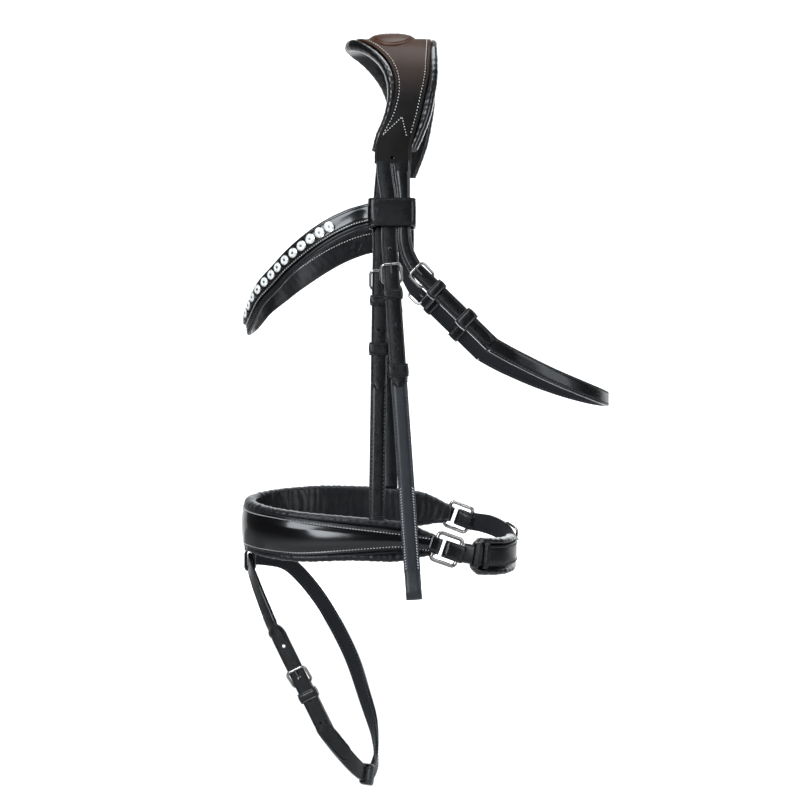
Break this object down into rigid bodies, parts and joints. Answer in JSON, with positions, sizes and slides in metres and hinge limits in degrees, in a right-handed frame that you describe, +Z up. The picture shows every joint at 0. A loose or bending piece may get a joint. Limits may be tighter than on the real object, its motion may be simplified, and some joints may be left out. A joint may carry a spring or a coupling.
{
  "type": "snaffle bridle",
  "caption": "Padded horse bridle head assembly: shaped headpiece, crystal browband, cheekpieces, throatlatch, crank noseband with flash strap, all on buckles.",
  "frame": {"origin": "poll seat: middle of the underside of the headpiece padding, where the bridle hangs on the horse's poll", "axes": "+Z up along the head, -X towards the nose, -Y the near (left) side"},
  "size_m": [0.3284, 0.1536, 0.6742],
  "materials": {
    "bridle_leather": "waxed, satin",
    "havana_leather": "very dark brown, satin",
    "patent_leather": "gloss patent",
    "soft_lining": "soft, padded, matt",
    "silver": "polished stainless steel",
    "crystal": "cut crystal in silver cups"
  },
  "bodies": {
    "headpiece": {"crown_leather": "havana_leather", "crown_padding": "soft_lining", "poll_cushion": "soft_lining", "noseband_sliphead": "bridle_leather"},
    "browband": {"browband_leather": "patent_leather", "browband_lining": "soft_lining", "browband_crystals": "crystal", "near_browband_loop": "patent_leather", "off_browband_loop": "patent_leather"},
    "near_cheek": {"near_cheek_billet": "bridle_leather", "near_cheekpiece": "bridle_leather", "near_cheek_buckle": "silver", "near_cheek_keeper": "bridle_leather", "near_hook_stud": "silver"},
    "off_cheek": {"off_cheek_billet": "bridle_leather", "off_cheekpiece": "bridle_leather", "off_cheek_buckle": "silver", "off_cheek_keeper": "bridle_leather", "off_hook_stud": "silver"},
    "noseband": {"noseband_face": "patent_leather", "noseband_padding": "soft_lining", "near_hanger": "bridle_leather", "off_hanger": "bridle_leather", "near_hanger_billet": "bridle_leather", "off_hanger_billet": "bridle_leather", "near_hanger_buckle": "silver", "off_hanger_buckle": "silver", "hanger_keepers": "bridle_leather", "flash_loop": "bridle_leather"},
    "chin": {"near_crank_ring": "silver", "off_crank_ring": "silver", "chin_strap": "bridle_leather", "chin_pad": "soft_lining", "chin_buckle": "silver", "chin_keepers": "bridle_leather"},
    "flash": {"flash_strap": "bridle_leather", "flash_billet": "bridle_leather", "flash_buckle": "silver", "flash_keepers": "bridle_leather"},
    "throat": {"throatlatch": "bridle_leather", "near_throat_billet": "bridle_leather", "off_throat_billet": "bridle_leather", "near_throat_buckle": "silver", "off_throat_buckle": "silver", "throat_keepers": "bridle_leather"},
    "near_cheek_prong": {"near_cheek_prong": "silver"},
    "off_cheek_prong": {"off_cheek_prong": "silver"},
    "near_cheek_runner": {"near_cheek_runner": "bridle_leather"},
    "off_cheek_runner": {"off_cheek_runner": "bridle_leather"},
    "near_hanger_prong": {"near_hanger_prong": "silver"},
    "off_hanger_prong": {"off_hanger_prong": "silver"},
    "near_hanger_runner": {"near_hanger_runner": "bridle_leather"},
    "off_hanger_runner": {"off_hanger_runner": "bridle_leather"},
    "chin_prong": {"chin_prong": "silver"},
    "flash_prong": {"flash_prong": "silver"},
    "near_throat_prong": {"near_throat_prong": "silver"},
    "off_throat_prong": {"off_throat_prong": "silver"},
    "near_throat_runner": {"near_throat_runner": "bridle_leather"},
    "off_throat_runner": {"off_throat_runner": "bridle_leather"}
  },
  "joints": [
    {"name": "browband_lift", "type": "hinge", "parent": "headpiece", "child": "browband", "pos_m": [0.001, 0, -0.158], "axis": [0, 1, 0], "range_deg": [0, 8]},
    {"name": "near_cheek_swing", "type": "hinge", "parent": "headpiece", "child": "near_cheek", "pos_m": [-0.001, -0.071, -0.183], "axis": [0, 1, 0], "range_deg": [-3, 18]},
    {"name": "off_cheek_swing", "type": "hinge", "parent": "headpiece", "child": "off_cheek", "pos_m": [-0.001, 0.071, -0.183], "axis": [0, 1, 0], "range_deg": [-3, 18]},
    {"name": "noseband_swing", "type": "hinge", "parent": "headpiece", "child": "noseband", "pos_m": [-0.0085, 0, -0.183], "axis": [0, 1, 0], "range_deg": [-8, 12]},
    {"name": "chin_strap_lift", "type": "hinge", "parent": "noseband", "child": "chin", "pos_m": [0.0455, 0, -0.429], "axis": [0.1369, 0.9781, 0.1565], "range_deg": [-8, 0]},
    {"name": "flash_swing", "type": "hinge", "parent": "noseband", "child": "flash", "pos_m": [-0.1263, 0, -0.4575], "axis": [0, 1, 0], "range_deg": [-5, 12]},
    {"name": "throatlatch_lift", "type": "hinge", "parent": "headpiece", "child": "throat", "pos_m": [0.012, 0, -0.183], "axis": [0, 1, 0], "range_deg": [-30, 0]},
    {"name": "near_cheek_prong_open", "type": "hinge", "parent": "near_cheek", "child": "near_cheek_prong", "pos_m": [0.00136, -0.067, -0.21682], "axis": [0.9976, 0, 0.0698], "range_deg": [0, 8]},
    {"name": "off_cheek_prong_open", "type": "hinge", "parent": "off_cheek", "child": "off_cheek_prong", "pos_m": [0.00136, 0.067, -0.21682], "axis": [-0.9976, 0, -0.0698], "range_deg": [0, 8]},
    {"name": "near_hanger_prong_open", "type": "hinge", "parent": "noseband", "child": "near_hanger_prong", "pos_m": [-0.00903, -0.054, -0.2206], "axis": [0.9999, 0, -0.014], "range_deg": [0, 8]},
    {"name": "off_hanger_prong_open", "type": "hinge", "parent": "noseband", "child": "off_hanger_prong", "pos_m": [-0.00719, 0.054, -0.22058], "axis": [-0.9994, 0, -0.0349], "range_deg": [0, 8]},
    {"name": "near_throat_prong_open", "type": "hinge", "parent": "throat", "child": "near_throat_prong", "pos_m": [0.03169, -0.067, -0.21577], "axis": [0.7009, 0, 0.7133], "range_deg": [0, 8]},
    {"name": "off_throat_prong_open", "type": "hinge", "parent": "throat", "child": "off_throat_prong", "pos_m": [0.03169, 0.067, -0.21577], "axis": [-0.7009, 0, -0.7133], "range_deg": [0, 8]},
    {"name": "flash_prong_open", "type": "hinge", "parent": "flash", "child": "flash_prong", "pos_m": [-0.0747, -0.04206, -0.5585], "axis": [0.8933, -0.0406, 0.4476], "range_deg": [0, 8]},
    {"name": "chin_prong_open", "type": "hinge", "parent": "chin", "child": "chin_prong", "pos_m": [0.10458, 0.03083, -0.43535], "axis": [0.1098, -0.3947, 0.9122], "range_deg": [0, 8]},
    {"name": "near_cheek_runner_slide", "type": "slide", "parent": "near_cheek", "child": "near_cheek_runner", "axis": [0.0698, 0, -0.9976], "range_m": [-0.008, 0.008]},
    {"name": "off_cheek_runner_slide", "type": "slide", "parent": "off_cheek", "child": "off_cheek_runner", "axis": [0.0698, 0, -0.9976], "range_m": [-0.008, 0.008]},
    {"name": "near_hanger_runner_slide", "type": "slide", "parent": "noseband", "child": "near_hanger_runner", "axis": [-0.014, 0, -0.9999], "range_m": [-0.008, 0.008]},
    {"name": "off_hanger_runner_slide", "type": "slide", "parent": "noseband", "child": "off_hanger_runner", "axis": [0.0349, 0, -0.9994], "range_m": [-0.008, 0.008]},
    {"name": "near_throat_runner_slide", "type": "slide", "parent": "throat", "child": "near_throat_runner", "axis": [0.7133, 0, -0.7009], "range_m": [-0.008, 0.008]},
    {"name": "off_throat_runner_slide", "type": "slide", "parent": "throat", "child": "off_throat_runner", "axis": [0.7133, 0, -0.7009], "range_m": [-0.008, 0.008]}
  ]
}
